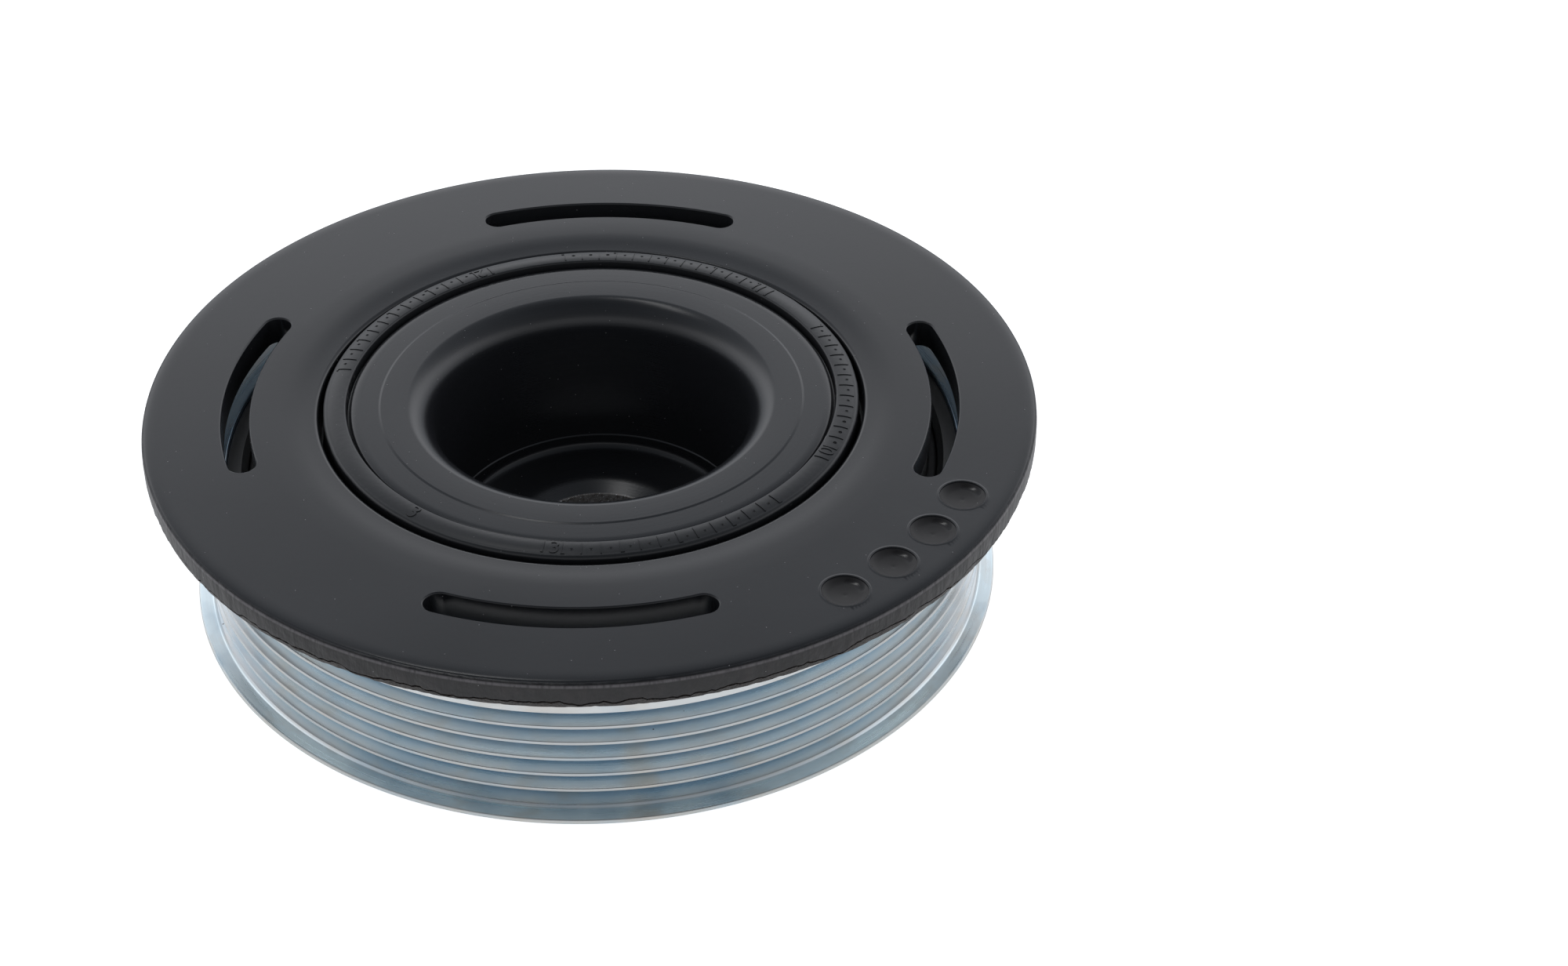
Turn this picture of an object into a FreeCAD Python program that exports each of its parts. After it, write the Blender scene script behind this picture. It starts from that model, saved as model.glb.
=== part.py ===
import FreeCAD, Part
import math
import os
from types import SimpleNamespace

import Sketcher

# Harmonic balancer with a six-groove belt pulley, a sprung inertia ring and a pressed cover plate.
# Millimetres. The origin is on the axis in the hub's rear face, and +Z runs along the axis to the front.

os.makedirs("parts", exist_ok=True)
doc = FreeCAD.newDocument("HarmonicBalancer")

dimensions = [
    # Hub: a turned casting, deep cup at the front, bore for the crankshaft nose at the rear
    ("frontHeight", 45.0, "hub rear face to the front of the cover plate"),
    ("hubFaceStep", 0.2, "front of the plate down to the hub face"),
    ("noseBoreRadius", 18.0, "bore for the crankshaft nose"),
    ("noseBoreDepth", 6.0, "depth of that bore"),
    ("noseBoreChamfer", 0.6, "chamfer of that bore"),
    ("boltHoleRadius", 13.9, "hole for the crankshaft bolt"),
    ("sinkWidth", 4.3, "bolt hole out to the washer seat"),
    ("sinkDepth", 1.4, "washer seat down to the rim of the bolt hole"),
    ("seatWidth", 10.1, "washer seat, out to the wall of the counterbore"),
    ("stepDepth", 2.6, "depth of the counterbore round the washer seat"),
    ("stepFillet", 1.8, "fillet in the counterbore"),
    ("cupStep", 0.3, "counterbore out to the foot of the cup wall"),
    ("cupDraft", 0.7, "how far the cup wall leans out on its way up"),
    ("cupDepth", 29.4, "hub face to the foot of the cup wall"),
    ("mouthDepth", 6.0, "depth of the rolled mouth"),
    ("mouthRoll", 6.23, "radius of the rolled mouth"),
    ("mouthWidth", 4.55, "cup wall out to the turned face"),
    ("barrelWall", 7.7, "cup wall out to the barrel that carries the coupling sleeve"),
    ("barrelChamfer", 1.0, "lead-in at the rear of the barrel"),
    ("bossStep", 6.0, "barrel in to the rear boss"),
    ("bossLength", 5.0, "length of the rear boss"),
    ("bossChamfer", 0.8, "chamfer of the rear boss"),
    ("rimGap", 3.2, "barrel out to the bore of the front rim, open to the rear"),
    ("rimWall", 4.55, "wall of the front rim"),
    ("rimEdge", 0.8, "rounded outer edge of the hub face"),
    ("hubWebThickness", 6.8, "hub face to the roof behind it"),
    ("hubRoofFillet", 1.2, "fillets under that roof"),
    # Damper rubber: moulded between the hub rim and the collar
    ("rubberWall", 5.65, "hub rim out to the collar"),
    ("bandInset", 0.75, "hub rim out to the raised band"),
    ("bandGroove", 0.85, "width of the groove between band and collar"),
    ("bandGrooveFoot", 0.5, "width of that groove at its foot"),
    ("bandGrooveDepth", 7.5, "depth of that groove"),
    ("bandProud", 0.3, "outer shoulder of the band above the plate"),
    ("bandRise", 0.3, "outer shoulder up to the inner shoulder of the band"),
    ("bandShoulder", 0.8, "round shoulders of the band"),
    ("bandCrown", 8.0, "radius of the band's crown"),
    # Cover plate: a blanked ring with a collar drawn back out of its middle
    ("plateOverhang", 9.5, "belt ribs out to the plate's rim"),
    ("plateThickness", 5.5, "sheet thickness"),
    ("dieRoll", 1.3, "rolled-over edge left by blanking"),
    ("tearHeight", 1.4, "height of the torn band on the blanked edge"),
    ("tearIn", 0.4, "how far the torn band falls back"),
    ("dishDepth", 0.5, "sink of the plate at the start of the collar bend"),
    ("dishMargin", 5.5, "slots in to the start of that sink"),
    ("collarBend", 1.0, "bend between plate and collar"),
    ("collarWall", 5.6, "wall of the drawn collar"),
    ("collarDepth", 21.0, "front of the plate to the rear end of the collar"),
    ("slotCount", 4, "curved slots through the plate"),
    ("slotOffset", 1.15, "inertia ring out to the centre line of the slots"),
    ("slotWidth", 5.1, "width of the slots"),
    ("slotSpan", 40.0, "angle between the centres of a slot's round ends"),
    ("drillCount", 4, "balance drillings"),
    ("drillInset", 8.43, "plate rim in to the drillings' centres"),
    ("drillDiameter", 8.2, "diameter of the drillings"),
    ("drillDepth", 0.9, "straight depth of the drillings"),
    ("drillTipAngle", 150.0, "point angle of the drill"),
    ("drillFirstAngle", -51.3, "angle of the first drilling"),
    ("drillSpacing", 8.97, "angle between drillings"),
    # Inertia ring, bearing bush and thrust ring, inside the pulley rim
    ("ringWall", 8.4, "collar out to the face of the inertia ring"),
    ("ringNeckStep", 1.8, "that face in to the neck under the plate"),
    ("ringNeckLength", 7.5, "length of that neck"),
    ("ringChamfer", 0.8, "chamfers of the inertia ring"),
    ("runningClearance", 0.1, "radial clearance of the bush and the thrust ring"),
    ("bushWall", 3.8, "wall of the bearing bush"),
    ("bushSetback", 0.8, "front of the pulley to the front of the bush"),
    ("bushChamfer", 1.1, "inner chamfer of the bush"),
    ("thrustThickness", 2.0, "thickness of the thrust ring"),
    ("thrustWidth", 10.2, "width of the thrust ring"),
    # Belt pulley: turned steel with a web and a collar at the rear
    ("pulleySetback", 10.7, "front of the plate to the front of the pulley"),
    ("pulleyEdge", 0.3, "chamfers at the front of the pulley rim"),
    ("pulleyRimWall", 4.7, "bearing bush out to the ribs"),
    ("frontLand", 4.4, "plain land in front of the first groove"),
    ("ribCount", 6, "belt grooves"),
    ("ribPitch", 3.56, "pitch of the belt grooves"),
    ("ribTipFlat", 0.6, "width of a rib's tip"),
    ("grooveAngle", 40.0, "included angle of a groove"),
    ("grooveDepth", 2.7, "depth of a groove's flanks"),
    ("rootRadius", 0.6, "round root of a groove"),
    ("shoulderRise", 0.4, "ribs out to the root of the rear flange"),
    ("shoulderHeight", 0.44, "last groove to the flange"),
    ("flangeHeight", 3.1, "ribs out to the rim of the rear flange"),
    ("flangeThickness", 1.2, "thickness of the rear flange at its rim"),
    ("flangeEdge", 0.35, "rounded edges of the rear flange"),
    ("pulleyWeb", 4.0, "thickness of the rear web"),
    ("pulleyCollarWall", 3.5, "wall of the pulley's inner collar"),
    ("pulleyCollarLength", 11.5, "rear face of the pulley to the end of its collar"),
    ("pulleyFillet", 1.2, "inner corners of the pulley"),
    # Coupling: rubber between a sleeve on the hub and the pulley's collar
    ("sleeveWall", 3.0, "wall of the coupling sleeve"),
    ("couplingWall", 12.0, "sleeve out to the pulley's collar"),
]


class Size:
    # A length with the sheet formula that it comes from, so that a sketch starts in its solved shape
    def __init__(self, value, formula):
        self.value = value
        self.formula = formula

    def __add__(self, other):
        return Size(self.value + other.value, f"({self.formula} + {other.formula})")

    def __sub__(self, other):
        return Size(self.value - other.value, f"({self.formula} - {other.formula})")

    def __mul__(self, other):
        return Size(self.value * other.value, f"({self.formula} * {other.formula})")

    def __truediv__(self, other):
        return Size(self.value / other.value, f"({self.formula} / {other.formula})")

    def half(self):
        return Size(self.value / 2, f"({self.formula} / 2)")

    def tangent(self):
        return Size(math.tan(math.radians(self.value)), f"tan({self.formula} * 1 deg)")

    def cosine(self):
        return Size(math.cos(math.radians(self.value)), f"cos({self.formula} * 1 deg)")

    def sine(self):
        return Size(math.sin(math.radians(self.value)), f"sin({self.formula} * 1 deg)")


def fillSheet():
    sheet = doc.addObject("Spreadsheet::Sheet", "sizes")
    for row, (name, value, note) in enumerate(dimensions, start=1):
        sheet.set(f"A{row}", name)
        sheet.set(f"B{row}", str(value))
        sheet.set(f"C{row}", note)
        sheet.setAlias(f"B{row}", name)
    doc.recompute()
    return SimpleNamespace(**{name: Size(value, f"sizes.{name}") for name, value, note in dimensions})


size = fillSheet()
rearFace = Size(0.0, "0")

# Radii from the bolt hole outwards, each piece on the one inside it
sinkRadius = size.boltHoleRadius + size.sinkWidth
stepRadius = sinkRadius + size.seatWidth
cupFootRadius = stepRadius + size.cupStep
cupMouthRadius = cupFootRadius + size.cupDraft
barrelRadius = cupMouthRadius + size.barrelWall
sleeveRadius = barrelRadius + size.sleeveWall
pulleyCollarBore = sleeveRadius + size.couplingWall
pulleyCollarRadius = pulleyCollarBore + size.pulleyCollarWall
rimBore = barrelRadius + size.rimGap
rimRadius = rimBore + size.rimWall
collarBore = rimRadius + size.rubberWall
collarRadius = collarBore + size.collarWall
ringRadius = collarRadius + size.ringWall
bushBore = ringRadius + size.runningClearance
pulleyRimBore = bushBore + size.bushWall
ribTipRadius = pulleyRimBore + size.pulleyRimWall
flangeRadius = ribTipRadius + size.flangeHeight
plateRadius = ribTipRadius + size.plateOverhang
slotPitchRadius = ringRadius + size.slotOffset
drillPitchRadius = plateRadius - size.drillInset

# Heights from the rear face, most of them measured down from the front
hubFace = size.frontHeight - size.hubFaceStep
cupFoot = hubFace - size.cupDepth
washerSeat = cupFoot - size.stepDepth
plateBack = size.frontHeight - size.plateThickness
collarRear = size.frontHeight - size.collarDepth
pulleyFront = size.frontHeight - size.pulleySetback
grooveTop = pulleyFront - size.frontLand
grooveBottom = grooveTop - size.ribPitch * size.ribCount + size.ribTipFlat
flangeTop = grooveBottom - size.shoulderHeight
pulleyRear = flangeTop - size.flangeThickness
webFront = pulleyRear + size.pulleyWeb
pulleyCollarFront = pulleyRear + size.pulleyCollarLength
thrustFront = webFront + size.thrustThickness


def makeBody(name):
    body = doc.addObject("PartDesign::Body", name)
    body.Label = name
    return body


def originPart(body, role):
    return next(item for item in body.Origin.OriginFeatures if item.Role == role)


def makeSketch(body, name, plane):
    sketch = body.newObject("Sketcher::SketchObject", name)
    sketch.AttachmentSupport = [(originPart(body, plane), "")]
    sketch.MapMode = "FlatFace"
    return sketch


def arcBetween(begin, end, radius, hollow):
    # The shorter arc from begin to end, which swells out of the section or, if hollow, into it
    chord = end - begin
    side = FreeCAD.Vector(-chord.y, chord.x, 0).normalize() * (-1 if hollow else 1)
    centre = begin + chord / 2 + side * math.sqrt(max(radius ** 2 - (chord.Length / 2) ** 2, 0))
    first, last = (end, begin) if hollow else (begin, end)
    angles = [math.atan2(point.y - centre.y, point.x - centre.x) for point in (first, last)]
    return Part.ArcOfCircle(Part.Circle(centre, FreeCAD.Vector(0, 0, 1), radius), *angles)


def bind(sketch, constraints):
    # Adds (constraint, size) pairs and ties each dimension to the sheet
    numbers = sketch.addConstraint([constraint for constraint, length in constraints])
    for number, (constraint, length) in zip(numbers, constraints):
        if length is not None:
            sketch.setExpression(f"Constraints[{number}]", length.formula)


def halfSection(body, name, outline):
    # A closed section beside the axis, in the XZ plane, with its corners given anticlockwise.
    # An entry is (radius, height), reached from the corner before by a straight edge, or
    # (radius, height, arc radius, hollow), reached by an arc.
    sketch = makeSketch(body, name, "XZ_Plane")
    corners = [FreeCAD.Vector(entry[0].value, entry[1].value, 0) for entry in outline]
    constraints = []
    ends = []
    for index, entry in enumerate(outline):
        begin = corners[index - 1]
        if len(entry) == 2:
            edge = sketch.addGeometry(Part.LineSegment(begin, corners[index]), False)
            ends.append((edge, 1, 2))
        else:
            arc = arcBetween(begin, corners[index], entry[2].value, entry[3])
            edge = sketch.addGeometry(arc, False)
            ends.append((edge, 2, 1) if entry[3] else (edge, 1, 2))
            constraints.append((Sketcher.Constraint("Radius", edge, entry[2].value), entry[2]))
    for index, (radius, height, *arc) in enumerate(outline):
        edge, start, stop = ends[index]
        following, nextStart, nextStop = ends[(index + 1) % len(ends)]
        join = Sketcher.Constraint("Coincident", edge, stop, following, nextStart)
        across = Sketcher.Constraint("DistanceX", -1, 1, edge, stop, radius.value)
        constraints += [(join, None), (across, radius)]
        if height is rearFace:
            constraints.append((Sketcher.Constraint("PointOnObject", edge, stop, -1), None))
        else:
            up = Sketcher.Constraint("DistanceY", -1, 1, edge, stop, height.value)
            constraints.append((up, height))
    bind(sketch, constraints)
    return sketch


def turn(body, outline, name="Section"):
    # Turns a section about the axis into the body's first solid
    sketch = halfSection(body, name, outline)
    revolution = body.newObject("PartDesign::Revolution", name + "Turned")
    revolution.Profile = sketch
    revolution.ReferenceAxis = (sketch, ["V_Axis"])
    doc.recompute()
    return revolution


def aroundAxis(body, feature, name):
    # A pattern of a feature about the axis, still without its count
    pattern = body.newObject("PartDesign::PolarPattern", name)
    pattern.Originals = [feature]
    pattern.Axis = (originPart(body, "Z_Axis"), [""])
    body.Tip = pattern
    return pattern


def makeHub():
    body = makeBody("hub")
    edge = size.rimEdge
    fillet = size.hubRoofFillet
    roof = hubFace - size.hubWebThickness
    bossRadius = barrelRadius - size.bossStep
    turn(body, [
        (size.noseBoreRadius + size.noseBoreChamfer, rearFace),
        (bossRadius - size.bossChamfer, rearFace),
        (bossRadius, size.bossChamfer),
        (bossRadius, size.bossLength),
        (barrelRadius - size.barrelChamfer, size.bossLength),
        (barrelRadius, size.bossLength + size.barrelChamfer),
        (barrelRadius, roof - fillet),
        (barrelRadius + fillet, roof, fillet, True),
        (rimBore - fillet, roof),
        (rimBore, roof - fillet, fillet, True),
        (rimBore, collarRear),
        (rimRadius, collarRear),
        (rimRadius, hubFace - edge),
        (rimRadius - edge, hubFace, edge, False),
        (cupMouthRadius + size.mouthWidth, hubFace),
        (cupMouthRadius, hubFace - size.mouthDepth, size.mouthRoll, False),
        (cupFootRadius, cupFoot),
        (stepRadius, cupFoot),
        (stepRadius, washerSeat + size.stepFillet),
        (stepRadius - size.stepFillet, washerSeat, size.stepFillet, True),
        (sinkRadius, washerSeat),
        (size.boltHoleRadius, washerSeat - size.sinkDepth),
        (size.boltHoleRadius, size.noseBoreDepth),
        (size.noseBoreRadius, size.noseBoreDepth),
        (size.noseBoreRadius, size.noseBoreChamfer),
    ])
    return body


def makeDamperRubber():
    body = makeBody("damper_rubber")
    shoulder = size.bandShoulder
    bandInner = rimRadius + size.bandInset
    bandOuter = collarBore - size.bandGroove
    bandTop = size.frontHeight + size.bandProud
    grooveFloor = size.frontHeight - size.bandGrooveDepth
    turn(body, [
        (rimRadius, collarRear),
        (collarBore, collarRear),
        (collarBore, grooveFloor),
        (collarBore - size.bandGrooveFoot, grooveFloor),
        (bandOuter, bandTop - shoulder),
        (bandOuter - shoulder, bandTop, shoulder, False),
        (bandInner + shoulder.half(), bandTop + size.bandRise, size.bandCrown, False),
        (bandInner, bandTop + size.bandRise - shoulder.half(), shoulder.half(), False),
        (rimRadius, hubFace - size.rimEdge),
    ])
    return body


def cutSlots(body):
    # One curved slot on +X, repeated round the plate
    sketch = makeSketch(body, "SlotOutline", "XY_Plane")
    outer = slotPitchRadius + size.slotWidth.half()
    inner = slotPitchRadius - size.slotWidth.half()
    swing = math.radians(size.slotSpan.value / 2)
    axis = FreeCAD.Vector(0, 0, 1)
    origin = FreeCAD.Vector(0, 0, 0)
    reach = slotPitchRadius.value
    left = FreeCAD.Vector(reach * math.cos(swing), reach * math.sin(swing), 0)
    right = FreeCAD.Vector(left.x, -left.y, 0)
    endRadius = size.slotWidth.value / 2
    outerArc, leftEnd, innerArc, rightEnd, ray = sketch.addGeometry([
        Part.ArcOfCircle(Part.Circle(origin, axis, outer.value), -swing, swing),
        Part.ArcOfCircle(Part.Circle(left, axis, endRadius), swing, swing + math.pi),
        Part.ArcOfCircle(Part.Circle(origin, axis, inner.value), -swing, swing),
        Part.ArcOfCircle(Part.Circle(right, axis, endRadius), math.pi - swing, 2 * math.pi - swing),
        Part.LineSegment(origin, left),
    ], False)
    sketch.setConstruction(ray, True)
    bind(sketch, [
        (Sketcher.Constraint("Coincident", outerArc, 3, -1, 1), None),
        (Sketcher.Constraint("Coincident", innerArc, 3, -1, 1), None),
        (Sketcher.Constraint("Tangent", outerArc, 2, leftEnd, 1), None),
        (Sketcher.Constraint("Tangent", leftEnd, 2, innerArc, 2), None),
        (Sketcher.Constraint("Tangent", innerArc, 1, rightEnd, 1), None),
        (Sketcher.Constraint("Tangent", rightEnd, 2, outerArc, 1), None),
        (Sketcher.Constraint("Coincident", ray, 1, -1, 1), None),
        (Sketcher.Constraint("Coincident", ray, 2, leftEnd, 3), None),
        (Sketcher.Constraint("Vertical", leftEnd, 3, rightEnd, 3), None),
        (Sketcher.Constraint("Radius", outerArc, outer.value), outer),
        (Sketcher.Constraint("Radius", innerArc, inner.value), inner),
    ])
    lean = sketch.addConstraint(Sketcher.Constraint("Angle", ray, swing))
    sketch.setExpression(f"Constraints[{lean}]", "sizes.slotSpan / 2 * 1 deg")
    slot = body.newObject("PartDesign::Pocket", "Slot")
    slot.Profile = sketch
    slot.Type = "ThroughAll"
    slot.SideType = "Symmetric"
    doc.recompute()
    slots = aroundAxis(body, slot, "Slots")
    slots.setExpression("Occurrences", "sizes.slotCount")
    doc.recompute()


def cutDrillings(body):
    # Shallow balance drillings in a short row, each with the cone that the drill leaves
    sketch = makeSketch(body, "DrillCentre", "XY_Plane")
    sketch.setExpression("AttachmentOffset.Base.z", size.frontHeight.formula)
    across = drillPitchRadius * size.drillFirstAngle.cosine()
    along = drillPitchRadius * size.drillFirstAngle.sine()
    centre = FreeCAD.Vector(across.value, along.value, 0)
    circle = Part.Circle(centre, FreeCAD.Vector(0, 0, 1), size.drillDiameter.value / 2)
    ring = sketch.addGeometry(circle, False)
    bind(sketch, [
        (Sketcher.Constraint("Diameter", ring, size.drillDiameter.value), size.drillDiameter),
        (Sketcher.Constraint("DistanceX", -1, 1, ring, 3, across.value), across),
        (Sketcher.Constraint("DistanceY", -1, 1, ring, 3, along.value), along),
    ])
    doc.recompute()
    drilling = body.newObject("PartDesign::Hole", "Drilling")
    drilling.Profile = sketch
    drilling.DepthType = "Dimension"
    drilling.DrillPoint = "Angled"
    drilling.setExpression("Diameter", "sizes.drillDiameter")
    drilling.setExpression("Depth", "sizes.drillDepth")
    drilling.setExpression("DrillPointAngle", "sizes.drillTipAngle")
    doc.recompute()
    drillings = aroundAxis(body, drilling, "Drillings")
    drillings.Mode = "Spacing"
    drillings.setExpression("Occurrences", "sizes.drillCount")
    drillings.setExpression("Offset", "sizes.drillSpacing")
    doc.recompute()


def makeCoverPlate():
    body = makeBody("cover_plate")
    sink = size.dishDepth
    dish = size.frontHeight - sink
    dishRadius = slotPitchRadius - size.slotWidth.half() - size.dishMargin
    bend = size.collarBend
    run = dishRadius - collarBore - bend
    roll = (run * run + sink * sink) / (sink + sink)
    turn(body, [
        (collarBore, collarRear),
        (collarRadius, collarRear),
        (collarRadius, plateBack),
        (plateRadius - size.tearIn, plateBack),
        (plateRadius, plateBack + size.tearHeight),
        (plateRadius, size.frontHeight - size.dieRoll),
        (plateRadius - size.dieRoll, size.frontHeight, size.dieRoll, False),
        (dishRadius, size.frontHeight),
        (collarBore + bend, dish, roll, False),
        (collarBore, dish - bend, bend, False),
    ])
    cutSlots(body)
    cutDrillings(body)
    return body


def makeInertiaRing():
    body = makeBody("inertia_ring")
    chamfer = size.ringChamfer
    neckRadius = ringRadius - size.ringNeckStep
    neckFoot = plateBack - size.ringNeckLength
    turn(body, [
        (collarRadius + chamfer, thrustFront),
        (ringRadius - chamfer, thrustFront),
        (ringRadius, thrustFront + chamfer),
        (ringRadius, neckFoot - chamfer),
        (ringRadius - chamfer, neckFoot),
        (neckRadius, neckFoot),
        (neckRadius, plateBack),
        (collarRadius, plateBack),
        (collarRadius, thrustFront + chamfer),
    ])
    return body


def makeBeltPulley():
    body = makeBody("belt_pulley")
    edge = size.pulleyEdge
    fillet = size.pulleyFillet
    turn(body, [
        (pulleyCollarBore, pulleyRear),
        (flangeRadius - size.flangeEdge, pulleyRear),
        (flangeRadius, pulleyRear + size.flangeEdge, size.flangeEdge, False),
        (flangeRadius, flangeTop - size.flangeEdge),
        (flangeRadius - size.flangeEdge, flangeTop, size.flangeEdge, False),
        (ribTipRadius + size.shoulderRise, flangeTop),
        (ribTipRadius, grooveBottom),
        (ribTipRadius, pulleyFront - edge),
        (ribTipRadius - edge, pulleyFront),
        (pulleyRimBore + edge, pulleyFront),
        (pulleyRimBore, pulleyFront - edge),
        (pulleyRimBore, webFront),
        (pulleyCollarRadius + fillet, webFront),
        (pulleyCollarRadius, webFront + fillet, fillet, True),
        (pulleyCollarRadius, pulleyCollarFront),
        (pulleyCollarBore, pulleyCollarFront),
    ])
    cutGrooves(body)
    return body


def cutGrooves(body):
    # The first belt groove, with a round root, repeated towards the rear
    flank = size.grooveDepth * size.grooveAngle.half().tangent()
    openHalf = size.ribPitch.half() - size.ribTipFlat.half()
    rootHalf = openHalf - flank
    middle = grooveTop - openHalf
    root = ribTipRadius - size.grooveDepth
    outside = ribTipRadius + size.grooveDepth.half()
    sketch = halfSection(body, "GrooveSection", [
        (outside, middle - openHalf),
        (outside, middle + openHalf),
        (ribTipRadius, middle + openHalf),
        (root, middle + rootHalf),
        (root, middle - rootHalf, size.rootRadius, False),
        (ribTipRadius, middle - openHalf),
    ])
    groove = body.newObject("PartDesign::Groove", "BeltGroove")
    groove.Profile = sketch
    groove.ReferenceAxis = (sketch, ["V_Axis"])
    doc.recompute()
    grooves = body.newObject("PartDesign::LinearPattern", "BeltGrooves")
    grooves.Originals = [groove]
    grooves.Direction = (originPart(body, "Z_Axis"), [""])
    grooves.Reversed = True
    grooves.Mode = "Spacing"
    grooves.setExpression("Occurrences", "sizes.ribCount")
    grooves.setExpression("Offset", "sizes.ribPitch")
    body.Tip = grooves
    doc.recompute()


def makeBearingBush():
    body = makeBody("bearing_bush")
    front = pulleyFront - size.bushSetback
    turn(body, [
        (bushBore, thrustFront),
        (pulleyRimBore, thrustFront),
        (pulleyRimBore, front),
        (bushBore + size.bushChamfer, front),
        (bushBore, front - size.bushChamfer),
    ])
    return body


def makeThrustRing():
    body = makeBody("thrust_ring")
    outer = pulleyRimBore - size.runningClearance
    inner = outer - size.thrustWidth
    turn(body, [
        (inner, webFront),
        (outer, webFront),
        (outer, thrustFront),
        (inner, thrustFront),
    ])
    return body


def makeCouplingRubber():
    # Both ends are moulded hollow, so that the rubber can swell
    body = makeBody("coupling_rubber")
    hollow = pulleyCollarBore - sleeveRadius
    turn(body, [
        (sleeveRadius, pulleyRear),
        (pulleyCollarBore, pulleyRear, hollow, True),
        (pulleyCollarBore, pulleyCollarFront),
        (sleeveRadius, pulleyCollarFront, hollow, True),
    ])
    return body


def makeCouplingSleeve():
    body = makeBody("coupling_sleeve")
    turn(body, [
        (barrelRadius, pulleyRear),
        (sleeveRadius, pulleyRear),
        (sleeveRadius, pulleyCollarFront),
        (barrelRadius, pulleyCollarFront),
    ])
    return body


def checkDocument(bodies):
    doc.recompute()
    faulty = [item.Name for item in doc.Objects if "Invalid" in item.State or "Error" in item.State]
    faulty += [body.Label for body in bodies if body.Shape.isNull() or not body.Shape.isValid()]
    faulty += [body.Label for body in bodies if len(body.Shape.Solids) != 1]
    if faulty:
        raise RuntimeError("These did not build: " + ", ".join(faulty))


bodies = [
    makeHub(),
    makeDamperRubber(),
    makeCoverPlate(),
    makeInertiaRing(),
    makeBeltPulley(),
    makeBearingBush(),
    makeThrustRing(),
    makeCouplingRubber(),
    makeCouplingSleeve(),
]
checkDocument(bodies)
for body in bodies:
    body.Shape.exportStep(f"parts/{body.Label}.step")
    box = body.Shape.BoundBox
    print(f"{body.Label}: {body.Shape.Volume / 1000:.1f} cm3, height {box.ZMin:.2f} to {box.ZMax:.2f} mm")
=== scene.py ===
import bpy
import math
from mathutils import Matrix, Vector, noise


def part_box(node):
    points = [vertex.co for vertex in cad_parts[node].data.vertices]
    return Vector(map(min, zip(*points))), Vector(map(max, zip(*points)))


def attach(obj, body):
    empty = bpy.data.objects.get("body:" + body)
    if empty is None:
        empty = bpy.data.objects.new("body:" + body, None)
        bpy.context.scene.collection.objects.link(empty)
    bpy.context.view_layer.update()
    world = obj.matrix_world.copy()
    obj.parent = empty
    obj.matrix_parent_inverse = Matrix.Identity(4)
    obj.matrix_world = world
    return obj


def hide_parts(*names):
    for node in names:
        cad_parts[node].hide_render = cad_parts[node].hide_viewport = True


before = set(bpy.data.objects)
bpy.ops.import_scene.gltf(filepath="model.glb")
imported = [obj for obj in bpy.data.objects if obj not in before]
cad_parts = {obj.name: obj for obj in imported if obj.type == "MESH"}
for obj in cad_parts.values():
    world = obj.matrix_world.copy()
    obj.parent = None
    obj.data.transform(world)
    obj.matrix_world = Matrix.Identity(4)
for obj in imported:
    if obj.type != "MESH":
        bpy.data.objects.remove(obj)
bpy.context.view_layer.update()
mm = 0.001
up = Vector((0, 0, 1))


# the frame's own heights and radii, in mm

def nodeRadius(node):
    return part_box(node)[1].x / mm


def nodeTop(node):
    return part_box(node)[1].z / mm


def nodeBottom(node):
    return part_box(node)[0].z / mm


plateTop = nodeTop("cover_plate")
plateRadius = nodeRadius("cover_plate")
hubTop = nodeTop("hub")
hubRadius = nodeRadius("hub")
pulleyTop = nodeTop("belt_pulley")
pulleyBottom = nodeBottom("belt_pulley")
flangeRadius = nodeRadius("belt_pulley")

# camera, where the photograph was taken from
camera = {
    "lens": 67.685,
    "distance": 0.5485,
    "azimuth": 4.7,
    "elevation": 34.777,
    "pan": -3.652,
    "tilt": -1.878,
    "roll": 2.367,
}


def placeCamera():
    turned = {name: math.radians(camera[name]) for name in ("azimuth", "elevation", "pan", "tilt", "roll")}
    heading = Matrix.Rotation(turned["azimuth"], 4, "Z")
    lookDown = Matrix.Rotation(math.pi / 2 - turned["elevation"], 4, "X")
    pan = Matrix.Rotation(turned["pan"], 4, "Y")
    tilt = Matrix.Rotation(turned["tilt"], 4, "X")
    roll = Matrix.Rotation(-turned["roll"], 4, "Z")
    backwards = Vector((0, -math.cos(turned["elevation"]), math.sin(turned["elevation"])))
    place = heading @ (backwards * camera["distance"]) + up * plateTop * mm
    bpy.ops.object.camera_add()
    eye = bpy.context.object
    eye.matrix_world = Matrix.Translation(place) @ heading @ lookDown @ pan @ tilt @ roll
    eye.data.lens = camera["lens"]
    eye.data.sensor_width = 36
    eye.data.clip_start = 0.01
    bpy.context.scene.camera = eye
    bpy.context.scene.view_settings.view_transform = "Standard"


# nodes

def addNode(tree, kind, inputs=None, **settings):
    node = tree.nodes.new("ShaderNode" + kind)
    for name, value in settings.items():
        setattr(node, name, value)
    for name, value in (inputs or {}).items():
        if isinstance(value, bpy.types.NodeSocket):
            tree.links.new(value, node.inputs[name])
        else:
            node.inputs[name].default_value = value
    return node


def newMaterial(name, **fixed):
    material = bpy.data.materials.new(name)
    material.use_nodes = True
    tree = material.node_tree
    shader = tree.nodes["Principled BSDF"]
    for socket, value in fixed.items():
        shader.inputs[socket.replace("_", " ")].default_value = value
    return material, tree, shader


def calculate(tree, operation, a, b):
    return addNode(tree, "Math", {0: a, 1: b}, operation=operation).outputs[0]


def times(tree, a, b):
    return calculate(tree, "MULTIPLY", a, b)


def spread(tree, value, low, high, outLow=0.0, outHigh=1.0):
    inputs = {"Value": value, "From Min": low, "From Max": high, "To Min": outLow, "To Max": outHigh}
    return addNode(tree, "MapRange", inputs, clamp=True).outputs["Result"]


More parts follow.
